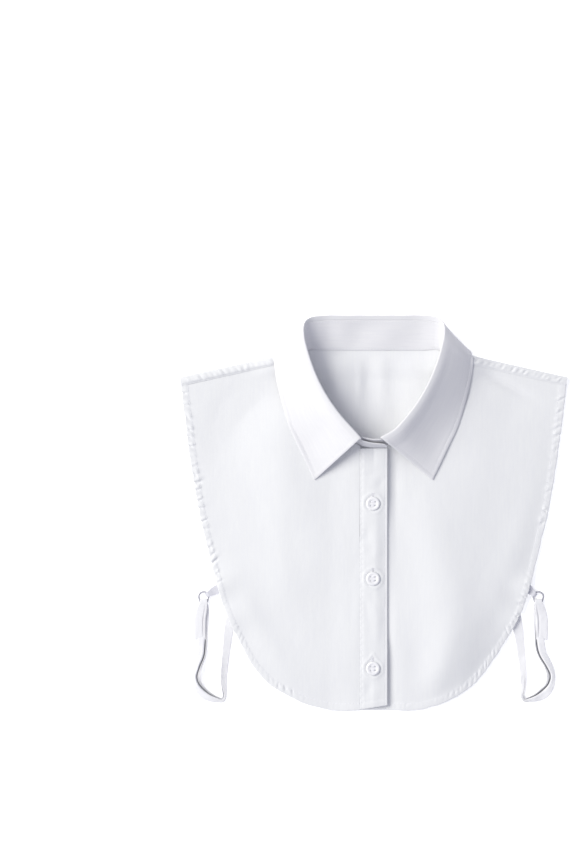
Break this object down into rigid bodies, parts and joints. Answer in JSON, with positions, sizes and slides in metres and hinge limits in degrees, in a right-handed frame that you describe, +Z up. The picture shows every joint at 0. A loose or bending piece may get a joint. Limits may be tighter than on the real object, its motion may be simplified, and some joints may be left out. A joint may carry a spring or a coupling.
{
  "type": "detachable shirt collar",
  "caption": "Buttoned false shirt collar with a pointed fold-over collar, rounded bib front and back, and elastic side loops, laid flat on its back.",
  "frame": {"origin": "bottom centre of the bounding box: on the surface that the garment lies on", "axes": "+Z up from the surface, +Y from the hem to the collar, +X to the wearer's left"},
  "size_m": [0.3682, 0.3756, 0.0308],
  "materials": {
    "poplin": "plain-woven white cotton poplin, matt",
    "fused_poplin": "white cotton poplin over fusible interlining, pressed",
    "button": "white four-hole plastic, semi-gloss",
    "elastic": "white woven elastic webbing",
    "satin": "white satin ribbon",
    "ring": "white nylon-coated wire"
  },
  "bodies": {
    "root": {"back_panel": "poplin", "front_left": "poplin", "front_right": "poplin", "button_stand": "poplin", "placket": "poplin", "collar_stand": "fused_poplin", "collar_leaf": "fused_poplin", "button_1": "button", "button_2": "button", "button_3": "button", "elastic_left": "elastic", "elastic_right": "elastic", "tab_left": "satin", "tab_right": "satin", "ring_left": "ring", "ring_right": "ring"}
  },
  "joints": []
}
